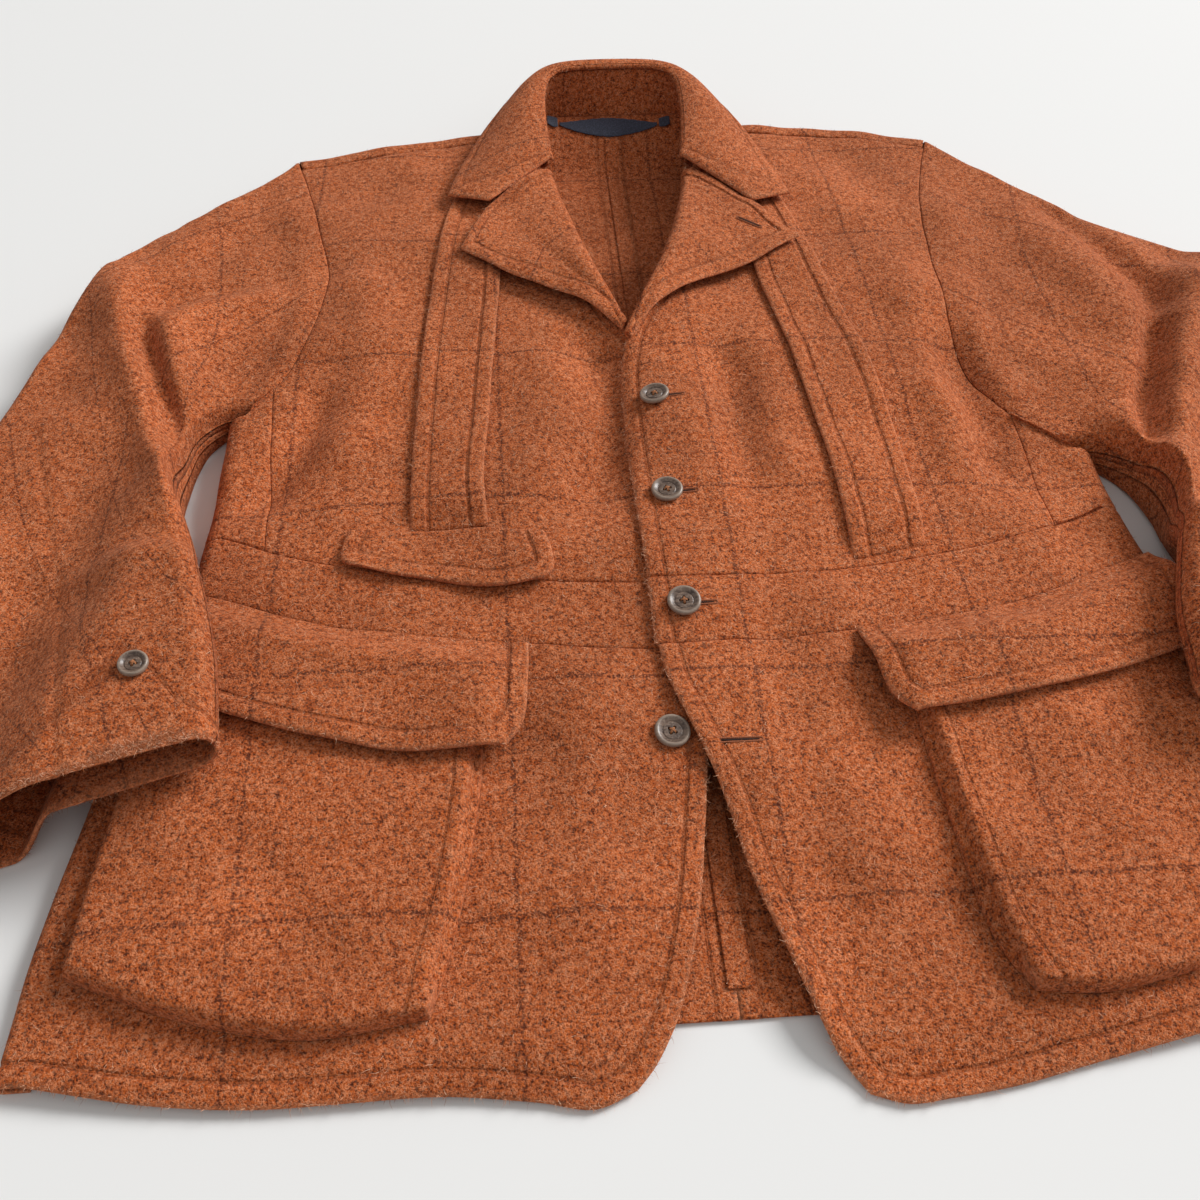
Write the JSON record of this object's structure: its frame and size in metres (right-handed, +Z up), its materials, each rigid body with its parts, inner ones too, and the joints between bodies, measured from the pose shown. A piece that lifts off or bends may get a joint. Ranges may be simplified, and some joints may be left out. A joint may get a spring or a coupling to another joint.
{
  "type": "norfolk jacket",
  "caption": "Tweed jacket laid flat on its back, with straps, a sewn-in belt, notched lapels, bellows pockets with flaps and rounded front corners.",
  "frame": {"origin": "on the flat underside of the back, 2 mm to the wearer's left of the centre-back seam and 0.364 m up from the back hem", "axes": "+X towards the wearer's left, +Y from the hem to the collar, +Z up from the surface the jacket lies on"},
  "size_m": [0.9198, 0.8529, 0.0717],
  "materials": {
    "tweed": "heathered wool tweed with a soft nap and a faint dark windowpane",
    "label_cloth": "close woven, slight sheen",
    "horn": "polished horn, streaked grey-brown"
  },
  "bodies": {
    "root": {"back_right": "tweed", "back_left": "tweed", "back_tape": "tweed", "front_right": "tweed", "front_left": "tweed", "side_right": "tweed", "side_left": "tweed", "belt_right": "tweed", "belt_left": "tweed", "skirt_right": "tweed", "skirt_left": "tweed", "strap_right": "tweed", "strap_left": "tweed", "breast_flap": "tweed", "pocket_right": "tweed", "pocket_left": "tweed", "pocket_flap_right": "tweed", "pocket_flap_left": "tweed", "lapel_right": "tweed", "lapel_left": "tweed", "collar_stand": "tweed", "collar_leaf": "tweed", "sleeve_top_right": "tweed", "sleeve_under_right": "tweed", "sleeve_top_left": "tweed", "sleeve_under_left": "tweed", "neck_label": "label_cloth", "tab_right": "label_cloth", "tab_left": "label_cloth", "button_1": "horn", "button_2": "horn", "button_3": "horn", "button_4": "horn", "cuff_button_right": "horn", "cuff_button_left": "horn"}
  },
  "joints": []
}
